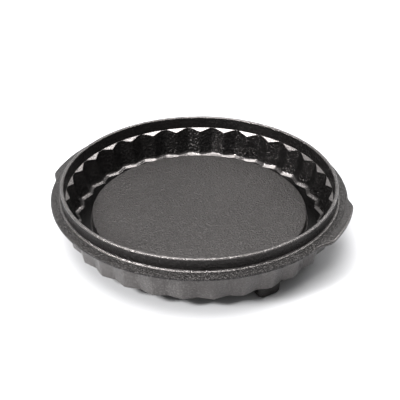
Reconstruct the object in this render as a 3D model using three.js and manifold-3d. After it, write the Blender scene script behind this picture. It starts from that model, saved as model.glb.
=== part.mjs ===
// Fluted cast-iron tart pan, in millimetres, +Z up, standing on its three feet at Z = 0.
// The axis of the round pan is the Z axis and the two side handles lie on the X axis.
import * as THREE from 'three';
import { mergeVertices } from 'three/addons/utils/BufferGeometryUtils.js';
import Module from 'manifold-3d';

const manifold = await Module();
manifold.setup();

// Driving dimensions
const GAP = 0.3; // clearance left between neighbouring regions of the casting
const ROUND_SIDES = 120; // sides of every round outline
const FLUTES = 30; // V-shaped flutes around the wall, one centred on each handle

const FOOT_HEIGHT = 13.5;
const FLOOR_THICKNESS = 5;
const PLATEAU_RISE = 8.5; // how far the raised middle stands above the trough floor
const PLATEAU_RADIUS = 110.4;
const PLATEAU_EDGE = 0.8;
const STEP_THICKNESS = 4.5;

const INNER_CORNER_RADIUS = 129.5; // inside of the wall at the trough floor
const INNER_RIDGE_RADIUS = 125.1;
const INNER_DRAFT = 0.21; // how fast the inside opens out, mm per mm of height
const OUTER_CORNER_RADIUS = 135.4; // outside of the wall at its bottom edge
const OUTER_RIDGE_RADIUS = 131.7;
const OUTER_DRAFT = 0.13;

const FLANGE_RADIUS = 150.2;
const FLANGE_TOP = 49.1;
const FLANGE_THICKNESS = 3.5;
const FLANGE_EDGE = 0.7;
const LEDGE_RADIUS = 134.6; // where the sloping inner ledge starts to fall inwards
const LEDGE_SLOPE = 0.6; // fall of the ledge, mm per mm of radius

const COLLAR_INNER_RADIUS = 136; // at the top; the inner face leans in a little below
const COLLAR_FOOT_RADIUS = 134.6;
const COLLAR_OUTER_RADIUS = 139.8;
const COLLAR_TOP = 62.3;
const COLLAR_EDGE = 1.2;

const HANDLE_RADIUS = 156;
const HANDLE_HALF_SPAN = 18.8; // degrees either side of the X axis
const HANDLE_END_SPAN = 7.5; // degrees over which each end runs back to the flange
const HANDLE_STEPS = 38;

const FOOT_ANGLES = { foot_front: -35, foot_back: 85, foot_left: 205 }; // degrees from +X
const FOOT_OUTER_RADIUS = 130.5;
const FOOT_DEPTH = 12;
const FOOT_WIDTH = 25.5;
const FOOT_CORNER = 3;
const FOOT_TAPER = 0.92; // size of the foot's sole compared with its root

// Heights and radii that follow from the driving dimensions
const FLOOR_BOTTOM = FOOT_HEIGHT;
const FLOOR_TOP = FLOOR_BOTTOM + FLOOR_THICKNESS;
const PLATEAU_TOP = FLOOR_TOP + PLATEAU_RISE;
const PLATEAU_BOTTOM = PLATEAU_TOP - FLOOR_THICKNESS;
const FLANGE_BOTTOM = FLANGE_TOP - FLANGE_THICKNESS;
const WALL_TOP = FLANGE_BOTTOM - GAP;

const IRON_COLOUR = 0x2e2d2c;
const IRON_ROUGHNESS = 0.5;
const IRON_METALNESS = 0.4;

function ironMesh(name, geometry) {
  const iron = new THREE.MeshStandardMaterial({
    color: IRON_COLOUR,
    roughness: IRON_ROUGHNESS,
    metalness: IRON_METALNESS,
  });
  const mesh = new THREE.Mesh(geometry, iron);
  mesh.name = name;
  return mesh;
}

// Keep only the positions and share the vertices, so that the surface is closed
function welded(geometry) {
  geometry.deleteAttribute('normal');
  geometry.deleteAttribute('uv');
  return mergeVertices(geometry);
}

function toSolid(geometry) {
  const closed = welded(geometry);
  const vertProperties = new Float32Array(closed.attributes.position.array);
  const triVerts = new Uint32Array(closed.index.array);
  return new manifold.Manifold(new manifold.Mesh({ numProp: 3, vertProperties, triVerts }));
}

function toGeometry(solid) {
  const { vertProperties, triVerts } = solid.getMesh();
  const geometry = new THREE.BufferGeometry();
  geometry.setAttribute('position', new THREE.BufferAttribute(vertProperties, 3));
  geometry.setIndex(new THREE.BufferAttribute(triVerts, 1));
  geometry.computeVertexNormals();
  return geometry;
}

// A body of revolution about Z from [radius, height] points, listed anticlockwise
function turned(profile, closeProfile) {
  const points = profile.map(([radius, height]) => new THREE.Vector2(radius, height));
  if (closeProfile) points.push(points[0].clone());
  const geometry = new THREE.LatheGeometry(points, ROUND_SIDES);
  geometry.rotateX(Math.PI / 2);
  return welded(geometry);
}

// The zigzag outline of the flutes: corners point outwards, ridges point inwards
function fluteOutline(cornerRadius, ridgeRadius) {
  const outline = new THREE.Shape();
  for (let i = 0; i < 2 * FLUTES; i += 1) {
    const angle = (i * Math.PI) / FLUTES;
    const radius = i % 2 === 0 ? cornerRadius : ridgeRadius;
    const x = radius * Math.cos(angle);
    const y = radius * Math.sin(angle);
    if (i === 0) outline.moveTo(x, y);
    else outline.lineTo(x, y);
  }
  outline.closePath();
  return outline;
}

// A fluted block. Its two radii hold at its base height and grow by their drafts above it
function flutedBlock(cornerRadius, ridgeRadius, draft, baseHeight, low, high) {
  const geometry = new THREE.ExtrudeGeometry(fluteOutline(cornerRadius, ridgeRadius), {
    depth: high - low,
    bevelEnabled: false,
  });
  geometry.translate(0, 0, low);
  const position = geometry.attributes.position;
  for (let i = 0; i < position.count; i += 1) {
    const radius = Math.hypot(position.getX(i), position.getY(i));
    const rise = Math.max(position.getZ(i) - baseHeight, 0);
    const scale = 1 + (draft * rise) / radius;
    position.setXY(i, position.getX(i) * scale, position.getY(i) * scale);
  }
  return toSolid(geometry);
}

function innerBlock(low, high) {
  return flutedBlock(
    INNER_CORNER_RADIUS, INNER_RIDGE_RADIUS, INNER_DRAFT, FLOOR_TOP, low, high,
  );
}

function outerBlock(low, high) {
  return flutedBlock(
    OUTER_CORNER_RADIUS, OUTER_RIDGE_RADIUS, OUTER_DRAFT, FLOOR_BOTTOM, low, high,
  );
}

// The raised round middle of the pan, a flat disc
function raisedBase() {
  return turned([
    [0, PLATEAU_BOTTOM],
    [PLATEAU_RADIUS, PLATEAU_BOTTOM],
    [PLATEAU_RADIUS, PLATEAU_TOP - PLATEAU_EDGE],
    [PLATEAU_RADIUS - PLATEAU_EDGE, PLATEAU_TOP],
    [0, PLATEAU_TOP],
  ]);
}

// The upright ring that carries the raised middle above the trough
function stepRing() {
  const inner = PLATEAU_RADIUS - STEP_THICKNESS;
  const top = PLATEAU_BOTTOM - GAP;
  return turned([
    [inner, FLOOR_BOTTOM],
    [PLATEAU_RADIUS, FLOOR_BOTTOM],
    [PLATEAU_RADIUS, top],
    [inner, top],
  ], true);
}

// The flat floor of the trough: round on the inside, fluted where it meets the wall
function troughFloor() {
  const outline = fluteOutline(INNER_CORNER_RADIUS - GAP, INNER_RIDGE_RADIUS - GAP);
  const hole = new THREE.Path();
  hole.absarc(0, 0, PLATEAU_RADIUS + GAP, 0, 2 * Math.PI, true);
  outline.holes.push(hole);
  const geometry = new THREE.ExtrudeGeometry(outline, {
    depth: FLOOR_THICKNESS,
    bevelEnabled: false,
    curveSegments: ROUND_SIDES,
  });
  geometry.translate(0, 0, FLOOR_BOTTOM);
  return welded(geometry);
}

// The fluted side wall, open at the top and the bottom
function flutedWall() {
  const outside = outerBlock(FLOOR_BOTTOM, WALL_TOP);
  const lowerInside = innerBlock(FLOOR_BOTTOM - 1, FLOOR_TOP);
  const upperInside = innerBlock(FLOOR_TOP, WALL_TOP + 1);
  return toGeometry(outside.subtract(lowerInside.add(upperInside)));
}

// The flat flange around the top of the wall, with the ledge that slopes to the flutes
function rimFlange() {
  const inner = INNER_RIDGE_RADIUS;
  const ledgeFall = (LEDGE_RADIUS - inner) * LEDGE_SLOPE;
  const ring = toSolid(turned([
    [inner, FLANGE_BOTTOM],
    [FLANGE_RADIUS - FLANGE_EDGE, FLANGE_BOTTOM],
    [FLANGE_RADIUS, FLANGE_BOTTOM + FLANGE_EDGE],
    [FLANGE_RADIUS, FLANGE_TOP - FLANGE_EDGE],
    [FLANGE_RADIUS - FLANGE_EDGE, FLANGE_TOP],
    [LEDGE_RADIUS, FLANGE_TOP],
    [inner, FLANGE_TOP - ledgeFall],
  ], true));
  return toGeometry(ring.subtract(innerBlock(FLOOR_TOP, FLANGE_TOP + 1)));
}

// The smooth upright collar that a lid or a second pan sits on
function lidCollar() {
  const bottom = FLANGE_TOP + GAP;
  return turned([
    [COLLAR_FOOT_RADIUS, bottom],
    [COLLAR_OUTER_RADIUS, bottom],
    [COLLAR_OUTER_RADIUS, COLLAR_TOP - COLLAR_EDGE],
    [COLLAR_OUTER_RADIUS - COLLAR_EDGE, COLLAR_TOP],
    [COLLAR_INNER_RADIUS + COLLAR_EDGE, COLLAR_TOP],
    [COLLAR_INNER_RADIUS, COLLAR_TOP - COLLAR_EDGE],
  ], true);
}

// Outer radius of a handle, a share of the way from its middle to its end
function handleRadius(degreesFromMiddle) {
  const intoEnd = Math.abs(degreesFromMiddle) - (HANDLE_HALF_SPAN - HANDLE_END_SPAN);
  const share = Math.min(Math.max(intoEnd / HANDLE_END_SPAN, 0), 1);
  const root = FLANGE_RADIUS + 2 * GAP;
  return root + (HANDLE_RADIUS - root) * 0.5 * (1 + Math.cos(Math.PI * share));
}

// One shallow side handle: a lobe that widens the flange, on the +X side
function sideHandle() {
  const rootRadius = FLANGE_RADIUS + GAP;
  const outline = new THREE.Shape();
  const endAngle = THREE.MathUtils.degToRad(HANDLE_HALF_SPAN);
  for (let i = 0; i <= HANDLE_STEPS; i += 1) {
    const degrees = HANDLE_HALF_SPAN * ((2 * i) / HANDLE_STEPS - 1);
    const angle = THREE.MathUtils.degToRad(degrees);
    const radius = handleRadius(degrees);
    const x = radius * Math.cos(angle);
    const y = radius * Math.sin(angle);
    if (i === 0) outline.moveTo(x, y);
    else outline.lineTo(x, y);
  }
  outline.absarc(0, 0, rootRadius, endAngle, -endAngle, true);
  outline.closePath();
  const geometry = new THREE.ExtrudeGeometry(outline, {
    depth: FLANGE_THICKNESS,
    bevelEnabled: false,
    curveSegments: HANDLE_STEPS,
  });
  geometry.translate(0, 0, FLANGE_BOTTOM);
  return welded(geometry);
}

// One foot: a rounded block that narrows slightly towards its sole
function foot() {
  const halfDepth = FOOT_DEPTH / 2;
  const halfWidth = FOOT_WIDTH / 2;
  const corner = FOOT_CORNER;
  const outline = new THREE.Shape();
  outline.moveTo(-halfDepth, -halfWidth + corner);
  outline.absarc(-halfDepth + corner, -halfWidth + corner, corner, Math.PI, 1.5 * Math.PI);
  outline.absarc(halfDepth - corner, -halfWidth + corner, corner, 1.5 * Math.PI, 2 * Math.PI);
  outline.absarc(halfDepth - corner, halfWidth - corner, corner, 0, 0.5 * Math.PI);
  outline.absarc(-halfDepth + corner, halfWidth - corner, corner, 0.5 * Math.PI, Math.PI);
  outline.closePath();
  const geometry = new THREE.ExtrudeGeometry(outline, {
    depth: FOOT_HEIGHT - GAP,
    bevelEnabled: false,
    curveSegments: 5,
  });
  const position = geometry.attributes.position;
  for (let i = 0; i < position.count; i += 1) {
    const height = position.getZ(i);
    const scale = FOOT_TAPER + ((1 - FOOT_TAPER) * height) / FOOT_HEIGHT;
    position.setXY(i, position.getX(i) * scale, position.getY(i) * scale);
  }
  return welded(geometry);
}

const pan = new THREE.Group();
pan.add(ironMesh('raised_base', raisedBase()));
pan.add(ironMesh('step_ring', stepRing()));
pan.add(ironMesh('trough_floor', troughFloor()));
pan.add(ironMesh('fluted_wall', flutedWall()));
pan.add(ironMesh('rim_flange', rimFlange()));
pan.add(ironMesh('lid_collar', lidCollar()));

const handles = { handle_right: 0, handle_left: Math.PI };
for (const [name, turn] of Object.entries(handles)) {
  const handle = ironMesh(name, sideHandle());
  handle.rotation.z = turn;
  pan.add(handle);
}

for (const [name, degrees] of Object.entries(FOOT_ANGLES)) {
  const arm = new THREE.Group();
  arm.rotation.z = THREE.MathUtils.degToRad(degrees);
  const mesh = ironMesh(name, foot());
  mesh.position.x = FOOT_OUTER_RADIUS - FOOT_DEPTH / 2;
  arm.add(mesh);
  pan.add(arm);
}

export default pan;
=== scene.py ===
import math

import bmesh
import bpy
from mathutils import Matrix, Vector, noise


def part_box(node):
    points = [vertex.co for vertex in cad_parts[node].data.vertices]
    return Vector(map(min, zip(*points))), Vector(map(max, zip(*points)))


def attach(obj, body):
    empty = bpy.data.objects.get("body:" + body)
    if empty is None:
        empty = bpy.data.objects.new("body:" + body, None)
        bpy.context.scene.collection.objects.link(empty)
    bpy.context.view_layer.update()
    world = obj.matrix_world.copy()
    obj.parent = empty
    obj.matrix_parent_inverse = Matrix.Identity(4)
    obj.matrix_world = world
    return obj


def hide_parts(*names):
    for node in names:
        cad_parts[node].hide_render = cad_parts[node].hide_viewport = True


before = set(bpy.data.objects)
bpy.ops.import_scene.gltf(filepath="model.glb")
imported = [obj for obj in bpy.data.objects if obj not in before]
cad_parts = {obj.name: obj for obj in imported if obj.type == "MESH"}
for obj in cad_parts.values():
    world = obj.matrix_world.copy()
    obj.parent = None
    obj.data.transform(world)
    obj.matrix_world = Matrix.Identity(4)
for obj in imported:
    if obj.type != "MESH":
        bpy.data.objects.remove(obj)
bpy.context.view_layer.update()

# The camera: it looks down into the open pan, with one handle on each side of the view.
# Its lens is a short telephoto, about 0.85 m from the pan, aimed a little off its middle.
camera_place = Vector((0.3007, -0.6599, 0.4924))
camera_aim = Vector((-0.350, 0.770, -0.533))
camera_data = bpy.data.cameras.new("camera")
camera_data.lens = 75.1
camera_data.sensor_width = 36.0
camera = bpy.data.objects.new("camera", camera_data)
camera.location = camera_place
camera.rotation_euler = camera_aim.to_track_quat("-Z", "Y").to_euler()
bpy.context.collection.objects.link(camera)
bpy.context.scene.camera = camera


# The raised middle: a flat round plateau cast in one with its upright step.
# Black seasoned iron, poured in sand, so its skin is a fine dry pebble with soft edges.
# It is one casting with every other piece of the pan.
class Socket:
    """A shader value that can be added, subtracted and multiplied like a number."""

    def __init__(self, tree, output):
        self.tree = tree
        self.output = output

    def maths(self, operation, first, second):
        node = self.tree.nodes.new("ShaderNodeMath")
        node.operation = operation
        for slot, value in zip(node.inputs, (first, second)):
            if isinstance(value, Socket):
                self.tree.links.new(value.output, slot)
            else:
                slot.default_value = value
        return Socket(self.tree, node.outputs[0])

    def __add__(self, other):
        return self.maths("ADD", self, other)

    def __radd__(self, other):
        return self.maths("ADD", other, self)

    def __sub__(self, other):
        return self.maths("SUBTRACT", self, other)

    def __rsub__(self, other):
        return self.maths("SUBTRACT", other, self)

    def __mul__(self, other):
        return self.maths("MULTIPLY", self, other)


class Finish:
    """The node tree of a material or of the studio, and the one way its nodes are made."""

    def __init__(self, owner):
        owner.use_nodes = True
        self.tree = owner.node_tree
        self.tree.nodes.clear()

    def node(self, kind, settings, values, output=0):
        """A node of this kind: settings first, then the value or link of each named socket."""
        made = self.tree.nodes.new(kind)
        for name, value in settings.items():
            setattr(made, name, value)
        for name, value in values.items():
            if isinstance(value, Socket):
                self.tree.links.new(value.output, made.inputs[name])
            else:
                made.inputs[name].default_value = value
        if made.outputs:
            return Socket(self.tree, made.outputs[output])

    def noise(self, place, scale, detail, roughness=0.5):
        values = {"Vector": place, "Scale": scale, "Detail": detail, "Roughness": roughness}
        return self.node("ShaderNodeTexNoise", {}, values)

    def between(self, value, low, high):
        """0 below low and 1 above high, with a soft run between them."""
        values = {"Value": value, "From Min": low, "From Max": high}
        return self.node("ShaderNodeMapRange", {"interpolation_type": "SMOOTHSTEP"}, values)

    def blend(self, share, first, second):
        """The first colour where share is 0 and the second where it is 1."""
        values = {0: share, 6: first, 7: second}
        return self.node("ShaderNodeMix", {"data_type": "RGBA"}, values, 2)

    def surface(self, values):
        """The shader that reaches the output."""
        shader = self.node("ShaderNodeBsdfPrincipled", {}, values)
        self.node("ShaderNodeOutputMaterial", {}, {"Surface": shader})


def seasoned_iron(name, tone, gloss, pebble_height, pebble_size, sheen, glint_gain=6.0):
    """Oily black cast iron: a pebbled skin with lighter speckles painted in as glints, and faint
    patches.
    """
    material = bpy.data.materials.new(name)
    finish = Finish(material)
    place = finish.node("ShaderNodeTexCoord", {}, {}, 3)
    cloud = finish.noise(place, 22.0, 3.0)
    grain = finish.noise(place, 1.0 / pebble_size, 3.0, 0.65)
    pebble = finish.node(
        "ShaderNodeTexVoronoi", {"feature": "SMOOTH_F1"},
        {"Vector": place, "Scale": 0.9 / pebble_size, "Smoothness": 0.5})
    skin = grain * 0.8 + pebble * 0.5
    bump = finish.node(
        "ShaderNodeBump", {}, {"Height": skin, "Strength": 1.0, "Distance": pebble_height})
    dark = (tone * 0.4, tone * 0.38, tone * 0.37, 1.0)
    # The lighter colour is painted glint for the speckles; a tenth of it also tints the faint
    # patches.
    glint_and_patch_colour = (tone * glint_gain, tone * glint_gain * 0.95, tone * glint_gain * 0.93, 1.0)
    # This mask, taken from the grain noise, places the painted glints.
    painted_glint_mask = finish.between(grain, 0.50, 0.66)
    patch = finish.between(cloud, 0.3, 0.7)
    colour = finish.blend(painted_glint_mask * 0.9 + patch * 0.1, dark, glint_and_patch_colour)
    roughness = gloss + (patch - 0.5) * 0.04 + (0.5 - painted_glint_mask) * 0.1
    finish.surface({
        "Base Color": colour, "Roughness": roughness, "Normal": bump,
        "IOR": sheen, "Specular Tint": (1.0, 0.93, 0.91, 1.0)})
    return material


def arc(centre, radius, start, end, steps=5):
    """Points of a round edge in the section, from one angle to the other, in degrees."""
    points = []
    for step in range(steps + 1):
        angle = math.radians(start + (end - start) * step / steps)
        points.append((centre[0] + radius * math.cos(angle), centre[1] + radius * math.sin(angle)))
    return points


noise.seed_set(1)
skin_room = 0.0002
broad_waves, broad_height = 30.0, 0.00014
fine_waves, fine_height = 120.0, 0.00004


def cast_skin(point):
    """The slight unevenness that sand casting leaves, kept within about skin_room."""
    broad = noise.noise_vector(point * broad_waves) * broad_height
    fine = noise.noise_vector(point * fine_waves) * fine_height
    return point + broad + fine


def marked(points, finish):
    """Give the strips that start at these points another of the piece's finishes."""
    return [(radius, height, finish) for radius, height in points]


def piece_from_mesh(name, mesh_bm, finishes, nodes, crease=32.0):
    """Finish a piece: merge, smooth except at real creases, and fix it to the pan."""
    bmesh.ops.remove_doubles(mesh_bm, verts=mesh_bm.verts, dist=1e-6)
    bmesh.ops.dissolve_degenerate(mesh_bm, edges=mesh_bm.edges, dist=1e-6)
    bmesh.ops.recalc_face_normals(mesh_bm, faces=mesh_bm.faces)
    for face in mesh_bm.faces:
        face.smooth = True
    for edge in mesh_bm.edges:
        if len(edge.link_faces) == 2 and edge.calc_face_angle(0.0) > math.radians(crease):
            edge.smooth = False
    mesh = bpy.data.meshes.new(name)
    mesh_bm.to_mesh(mesh)
    mesh_bm.free()
    for finish in finishes:
        mesh.materials.append(finish)
    piece = bpy.data.objects.new(name, mesh)
    bpy.context.collection.objects.link(piece)
    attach(piece, "root")
    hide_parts(*nodes)
    return piece


def ring_of_sections(section_at, angles, closed):
    """Join the sections that section_at(angle) gives, in (radius, height), round the axis."""
    mesh_bm = bmesh.new()
    rows = []
    for angle in angles:
        row = []
        section = section_at(angle)
        for radius, height, *_ in section:
            point = Vector((radius * math.cos(angle), radius * math.sin(angle), height))
            row.append(mesh_bm.verts.new(cast_skin(point)))
        rows.append(row)
    strips = [mark[0] if mark else 0 for _, _, *mark in section]
    pairs = list(zip(rows, rows[1:]))
    if closed:
        pairs.append((rows[-1], rows[0]))
    count = len(rows[0])
    for row, following in pairs:
        for i in range(count):
            j = (i + 1) % count
            face = mesh_bm.faces.new((row[i], row[j], following[j], following[i]))
            face.material_index = strips[i]
    if not closed:
        mesh_bm.faces.new(list(reversed(rows[0])))
        mesh_bm.faces.new(rows[-1])
    return mesh_bm


FLUTES = 30
STEPS_PER_FLUTE = 20
TURN = [2 * math.pi * i / (FLUTES * STEPS_PER_FLUTE) for i in range(FLUTES * STEPS_PER_FLUTE)]

plateau_low, plateau_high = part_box("raised_base")
floor_low, floor_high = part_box("trough_floor")
plateau_radius = plateau_high[0]
plateau_top = plateau_high[2]
floor_bottom = floor_low[2]
floor_top = floor_high[2]
plateau_edge = 0.0016
step_fillet = 0.0016
step_thickness = 0.0045
recess_radius = plateau_radius - step_thickness
recess_top = plateau_low[2]
recess_lip = 0.001
recess_round = 0.002


def middle_section(angle):
    top = [(plateau_radius * share, plateau_top) for share in (0.0, 0.3, 0.6, 0.85)]
    inner = plateau_radius - plateau_edge
    rim = arc((inner, plateau_top - plateau_edge), plateau_edge, 90, 0)
    foot = arc((plateau_radius + step_fillet, floor_top + step_fillet), step_fillet, 180, 270)
    under = [(plateau_radius + step_fillet, floor_bottom)]
    under += arc(
        (recess_radius + recess_lip, floor_bottom + recess_lip), recess_lip, 270, 180, 3)
    under += arc(
        (recess_radius - recess_round, recess_top - recess_round), recess_round, 0, 90, 3)
    under += [(recess_radius * 0.6, recess_top), (0.0, recess_top)]
    return top + rim + foot + under


middle_iron = seasoned_iron("iron_middle", 0.0034, 0.43, 0.0022, 0.0019, 1.45)
piece_from_mesh(
    "pan_middle", ring_of_sections(middle_section, TURN, True), [middle_iron],
    ["raised_base", "step_ring"])


# The trough: the flat channel between the raised middle and the foot of the flutes.
# The same iron casting and its smoothest part; its colour is the blackest of the pan, painted
# shade of the sunken channel.
# Its outer edge follows the flutes.
inner_corner = 0.1295
inner_ridge = 0.1251
inner_draft = 0.21
inner_sharpness = 0.9985
foot_fillet = 0.0039


def zigzag(angle, sharpness):
    """1 at the outward corners of the flutes, 0 at the inward ridges, straight between."""
    swing = math.cos(angle * FLUTES)
    return 0.5 + 0.5 * math.asin(sharpness * swing) / math.asin(sharpness)


def inner_radius(angle, height):
    """Radius of the inside of the fluted wall."""
    share = zigzag(angle, inner_sharpness)
    at_floor = inner_ridge + (inner_corner - inner_ridge) * share
    return at_floor + inner_draft * max(height - floor_top, 0.0)


def trough_section(angle):
    start = plateau_radius + step_fillet
    end = inner_radius(angle, floor_top) - foot_fillet
    middle = 0.5 * (start + end)
    return [
        (start, floor_top), (middle, floor_top), (end, floor_top),
        (end, floor_bottom), (middle, floor_bottom), (start, floor_bottom),
    ]


# The trough's very low tone is painted shade of the recess.
trough_painted_shade_iron = seasoned_iron("iron_trough", 0.0005, 0.12, 0.0002, 0.0020, 1.2)
piece_from_mesh(
    "pan_trough", ring_of_sections(trough_section, TURN, True), [trough_painted_shade_iron],
    ["trough_floor"])


# The side wall: thirty straight-sided iron flutes that open out a little towards the rim.
# The mould leaves it dry outside, with a rounded lower edge, and its grey colour there is
# painted reflection of the bright table; inside it is oily and black, down to a fillet at
# its foot that is worn smooth.
flange_low, flange_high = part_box("rim_flange")
flange_bottom = flange_low[2]
flange_top = flange_high[2]
outer_corner = 0.1354
outer_ridge = 0.1317
outer_draft = 0.13
outer_sharpness = 0.998
lower_edge = 0.0010
under_fillet = 0.0015
ledge_radius = 0.1350
ledge_slope = 0.72
crease_round = 0.0003
least_ledge = 0.0001


def outer_radius(angle, height):
    at_bottom = outer_ridge + (outer_corner - outer_ridge) * zigzag(angle, outer_sharpness)
    return at_bottom + outer_draft * (height - floor_bottom)


def ledge_end(angle):
    """Where the sloping ledge meets the face of the flute, as (radius, height)."""
    start = inner_radius(angle, floor_top)
    start += inner_draft * (flange_top - ledge_slope * ledge_radius - floor_top)
    radius = min(start / (1 - inner_draft * ledge_slope), ledge_radius - least_ledge)
    return radius, flange_top - ledge_slope * (ledge_radius - radius)


def wall_section(angle):
    bottom = outer_radius(angle, floor_bottom) - lower_edge
    outside = [(inner_radius(angle, floor_top) - foot_fillet, floor_bottom)]
    outside += arc((bottom, floor_bottom + lower_edge), lower_edge, 270, 360, 5)
    for share in (0.35, 0.65, 0.9):
        height = floor_bottom + share * (flange_bottom - floor_bottom)
        outside.append((outer_radius(angle, height), height))
    flare = outer_radius(angle, flange_bottom)
    outside += arc((flare + under_fillet, flange_bottom - under_fillet), under_fillet, 180, 90, 4)
    section = marked(outside, 1)
    seam = ledge_end(angle)[1] - crease_round
    for share in (0.0, 0.25, 0.5, 0.75):
        height = seam + share * (floor_top + foot_fillet - seam)
        section.append((inner_radius(angle, height), height))
    foot = inner_radius(angle, floor_top)
    lift = foot_fillet * (1.0 + 0.5 * inner_draft)
    fillet = arc((foot - foot_fillet, floor_top + lift), foot_fillet, 0, -90, 9)[1:-1]
    section += marked(fillet, 2)
    section += marked([(foot - foot_fillet, floor_top)], 1)
    return section


inside_iron = seasoned_iron("iron_flutes_inside", 0.0016, 0.14, 0.0010, 0.0020, 1.35)
# The outside's grey, far lighter than the inside, is painted reflection of the table.
outside_painted_reflection_iron = seasoned_iron("iron_flutes_outside", 0.065, 0.30, 0.0003, 0.0017, 1.55, 1.5)
worn_iron = seasoned_iron("iron_worn_smooth", 0.0030, 0.18, 0.0004, 0.0020, 1.75)
piece_from_mesh(
    "pan_wall", ring_of_sections(wall_section, TURN, True),
    [inside_iron, outside_painted_reflection_iron, worn_iron], ["fluted_wall"])


# The flange: a flat pebbled iron rim cast round the top of the wall. Inside the collar a
# smooth ledge slopes down from it to the ridges of the flutes.
# Its outer edge is rounded and rubbed, and stands back where the two handles join it.
flange_radius = min(flange_high[0], flange_high[1]) - skin_room
flange_edge = 0.0017
edge_steps = 5
seam_radius = flange_radius - 0.0018
handle_span = math.radians(18.8)


def in_handle(angle):
    return abs(math.atan2(math.sin(2 * angle), math.cos(2 * angle))) / 2 < handle_span - 1e-6


def flange_inside(angle):
    """The ledge and its rounded crease, from the seam with the wall out to the collar."""
    radius, height = ledge_end(angle)
    seam = (inner_radius(angle, height - crease_round), height - crease_round)
    reach = min(crease_round, 0.5 * (ledge_radius - radius))
    shoulder = (radius + reach, height + reach * ledge_slope)
    points = [seam]
    for step in (1, 2, 3):
        t = step / 4
        points.append(tuple(
            (1 - t) ** 2 * a + 2 * t * (1 - t) * b + t * t * c
            for a, b, c in zip(seam, (radius, height), shoulder)))
    points.append(shoulder)
    return marked(points, 1) + [(ledge_radius, flange_top)]


def edge_round(radius):
    centre = radius - flange_edge
    top = arc((centre, flange_top - flange_edge), flange_edge, 90, 0, edge_steps)
    bottom = arc((centre, flange_bottom + flange_edge), flange_edge, 0, -90, edge_steps)
    return marked(top, 1) + bottom


def cut_edge():
    """The flange's side of the seam with a handle, with as many points as edge_round."""
    heights = [flange_top] * (edge_steps + 1) + [flange_bottom] * (edge_steps + 1)
    return [(seam_radius, height) for height in heights]


def flange_section(angle, handle):
    section = flange_inside(angle)
    section.append((seam_radius, flange_top))
    section += cut_edge() if handle else edge_round(flange_radius)
    section.append((seam_radius, flange_bottom))
    section.append((outer_radius(angle, flange_bottom) + under_fillet, flange_bottom))
    return section


seam_split = 1e-9
flange_rows = [(angle, in_handle(angle)) for angle in TURN]
for centre in (0.0, math.pi):
    for side in (-1, 1):
        edge_angle = (centre + side * handle_span) % (2 * math.pi)
        flange_rows.append((edge_angle + side * seam_split, False))
        flange_rows.append((edge_angle - side * seam_split, True))
flange_rows.sort()
flange_state = dict(flange_rows)

flange_iron = seasoned_iron("iron_flange", 0.0050, 0.20, 0.0023, 0.0018, 1.33)
ledge_iron = seasoned_iron("iron_ledge", 0.0060, 0.22, 0.0004, 0.0018, 2.4)
piece_from_mesh(
    "pan_flange",
    ring_of_sections(
        lambda angle: flange_section(angle, flange_state[angle]),
        [angle for angle, _ in flange_rows], True),
    [flange_iron, ledge_iron], ["rim_flange"])


# The collar: an upright iron ring that a lid or a second pan sits over.
# Its narrow top is rubbed smooth, its inner face leans in towards its foot, and a fillet
# outside ties it to the flange.
collar_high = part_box("lid_collar")[1]
collar_outer = collar_high[0] - skin_room
collar_inner = 0.136
collar_inner_foot = ledge_radius
collar_top = collar_high[2] - skin_room
collar_edge = 0.0014
collar_fillet = 0.0019
collar_root = 0.0006


def collar_section(angle):
    low = flange_top - collar_root
    section = [(collar_inner_foot, low)]
    section += [(collar_outer + collar_fillet, low)]
    fillet = arc(
        (collar_outer + collar_fillet, flange_top + collar_fillet), collar_fillet, 270, 180, 7)
    section += marked(fillet[:-1], 1) + fillet[-1:]
    section += [(collar_outer, 0.5 * (flange_top + collar_top))]
    edge = arc((collar_outer - collar_edge, collar_top - collar_edge), collar_edge, 0, 90, 5)
    edge += arc((collar_inner + collar_edge, collar_top - collar_edge), collar_edge, 90, 180, 5)
    section += marked(edge[:-1], 1) + edge[-1:]
    return section


collar_iron = seasoned_iron("iron_collar", 0.0016, 0.28, 0.0008, 0.0019, 1.35)
rubbed_iron = seasoned_iron("iron_collar_rubbed", 0.0040, 0.20, 0.0009, 0.0018, 1.8)
piece_from_mesh(
    "pan_collar", ring_of_sections(collar_section, TURN, True), [collar_iron, rubbed_iron],
    ["lid_collar"])


# The two handles: shallow lobes that widen the flange, one on each side.
# They are the flange's own iron and thickness, with the same rounded edge.
handle_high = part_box("handle_right")[1]
handle_radius = handle_high[0] - skin_room
handle_end = math.radians(7.5)
handle_steps = 72


def lobe_radius(offset):
    into_end = (abs(offset) - (handle_span - handle_end)) / handle_end
    share = min(max(into_end, 0.0), 1.0)
    return flange_radius + (handle_radius - flange_radius) * 0.5 * (1 + math.cos(math.pi * share))


def handle_section(angle, centre):
    offset = math.atan2(math.sin(angle - centre), math.cos(angle - centre))
    section = [(seam_radius, flange_top)]
    section += edge_round(lobe_radius(offset))
    section.append((seam_radius, flange_bottom))
    return section


handle_iron = seasoned_iron("iron_handle", 0.0040, 0.25, 0.0014, 0.0019, 1.38)
for name, centre in (("handle_right", 0.0), ("handle_left", math.pi)):
    sweep = [
        centre + handle_span * (2 * i / handle_steps - 1) for i in range(handle_steps + 1)]
    piece_from_mesh(
        "pan_" + name,
        ring_of_sections(lambda angle: handle_section(angle, centre), sweep, False),
        [handle_iron, worn_iron], [name])


# The three feet: short rounded iron blocks cast under the edge of the trough.
# They narrow a little towards the sole, and a fillet spreads each one into the casting.
foot_taper = 0.92
foot_corner = 0.0032
foot_depth = 0.012
foot_width = 0.0255
sole_round = 0.0014
sole_corner = 0.0045
root_flare = 0.0014
root_depth = 0.001


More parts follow.
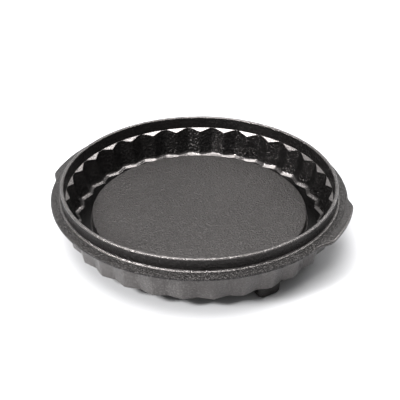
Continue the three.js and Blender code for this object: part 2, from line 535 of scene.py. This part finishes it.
def rounded_outline(half_depth, half_width, corner, steps=6):
    points = []
    for sx, sy, start in ((1, -1, 270), (1, 1, 0), (-1, 1, 90), (-1, -1, 180)):
        centre = (sx * (half_depth - corner), sy * (half_width - corner))
        points += arc(centre, corner, start, start + 90, steps)
    return points


def inset_at(level, reach):
    """How far an edge rounded by reach stands back at this height above the sole."""
    rise = min(level / reach, 1.0)
    return reach * (1 - math.sqrt(1 - (1 - rise) ** 2))


def foot_mesh(middle, direction, height):
    """A stack of rounded outlines from the sole up into the casting."""
    levels = [sole_corner * (1 - math.cos(math.radians(90 * step / 8))) for step in range(9)]
    levels += [0.5 * height, height - root_flare]
    levels += [height - root_flare * (1 - math.sin(math.radians(30 * step))) for step in (1, 2, 3)]
    levels.append(height + root_depth)
    mesh_bm = bmesh.new()
    across = Vector((-direction.y, direction.x, 0.0))
    rows = []
    for level in levels:
        scale = foot_taper + (1 - foot_taper) * level / height
        climb = min(max(level - height + root_flare, 0.0), root_flare)
        flare = root_flare - math.sqrt(root_flare ** 2 - climb ** 2)
        depth = 0.5 * foot_depth * scale - inset_at(level, sole_round) + flare
        width = 0.5 * foot_width * scale - inset_at(level, sole_corner) + flare
        row = []
        for along, sideways in rounded_outline(depth, width, foot_corner):
            point = middle + direction * along + across * sideways + Vector((0.0, 0.0, level))
            row.append(mesh_bm.verts.new(cast_skin(point) if level > skin_room else point))
        rows.append(row)
    for row, following in zip(rows, rows[1:]):
        for i in range(len(row)):
            j = (i + 1) % len(row)
            mesh_bm.faces.new((row[i], row[j], following[j], following[i]))
    mesh_bm.faces.new(list(reversed(rows[0])))
    mesh_bm.faces.new(rows[-1])
    return mesh_bm


foot_iron = seasoned_iron("iron_foot", 0.0015, 0.45, 0.0004, 0.0019, 1.4)
for name in ("foot_front", "foot_back", "foot_left"):
    low, high = (Vector(corner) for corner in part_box(name))
    centre = 0.5 * (low + high)
    middle = Vector((centre.x, centre.y, 0.0))
    piece_from_mesh(
        "pan_" + name,
        foot_mesh(middle, middle.normalized(), floor_bottom),
        [foot_iron], [name])


# The table: a sheet of plain matt paper under the pan, in a studio that is brightest behind.
# A large soft lamp hangs above the pan, a small one behind it on the right, and one in
# front of it on the left throws the shadow to the right.
table_paper = bpy.data.materials.new("table_paper")
paper = Finish(table_paper)
paper_place = paper.node("ShaderNodeTexCoord", {}, {}, 3)
paper_shade = paper.blend(
    paper.noise(paper_place, 3.0, 2.0), (0.37, 0.37, 0.38, 1.0), (0.39, 0.39, 0.395, 1.0))
paper.surface({"Base Color": paper_shade, "Roughness": 0.6})
floor_mesh = bpy.data.meshes.new("table_top")
floor_half = 4.0
floor_mesh.from_pydata(
    [(-floor_half, -floor_half, 0), (floor_half, -floor_half, 0),
     (floor_half, floor_half, 0), (-floor_half, floor_half, 0)], [], [(0, 1, 2, 3)])
floor_mesh.materials.append(table_paper)
table_top = bpy.data.objects.new("table_top", floor_mesh)
bpy.context.collection.objects.link(table_top)

ahead = Vector((camera_aim.x, camera_aim.y, 0.0)).normalized()
leftwards = Vector((-ahead.y, ahead.x, 0.0))
bpy.context.scene.view_settings.view_transform = "Standard"

world = bpy.data.worlds.new("studio")
sky = Finish(world)
direction = sky.node("ShaderNodeTexCoord", {}, {}, 0)
lean = sky.node(
    "ShaderNodeVectorMath", {"operation": "DOT_PRODUCT"},
    {0: direction, 1: ahead * 0.97 + leftwards * 0.24}, 1)
brightness = sky.between(lean, -0.2, 0.75) * 0.6 + 0.5
backdrop = sky.node(
    "ShaderNodeBackground", {}, {"Color": (1.0, 1.0, 1.0, 1.0), "Strength": brightness})
sky.node("ShaderNodeOutputWorld", {}, {"Surface": backdrop})
bpy.context.scene.world = world


def soft_lamp(name, place, size, power):
    data = bpy.data.lights.new(name, "AREA")
    data.shape = "RECTANGLE"
    data.size = size[0]
    data.size_y = size[1]
    data.energy = power
    lamp = bpy.data.objects.new(name, data)
    lamp.location = place
    lamp.rotation_euler = (-place).to_track_quat("-Z", "Y").to_euler()
    bpy.context.collection.objects.link(lamp)


soft_lamp("top_lamp", leftwards * 0.1 - ahead * 0.1 + Vector((0, 0, 1.9)), (1.7, 1.7), 128.0)
soft_lamp("rear_lamp", ahead * 0.75 - leftwards * 1.3 + Vector((0, 0, 1.35)), (0.6, 0.5), 14.0)
soft_lamp("side_lamp", leftwards * 1.3 - ahead * 0.9 + Vector((0, 0, 1.3)), (0.4, 0.4), 82.0)
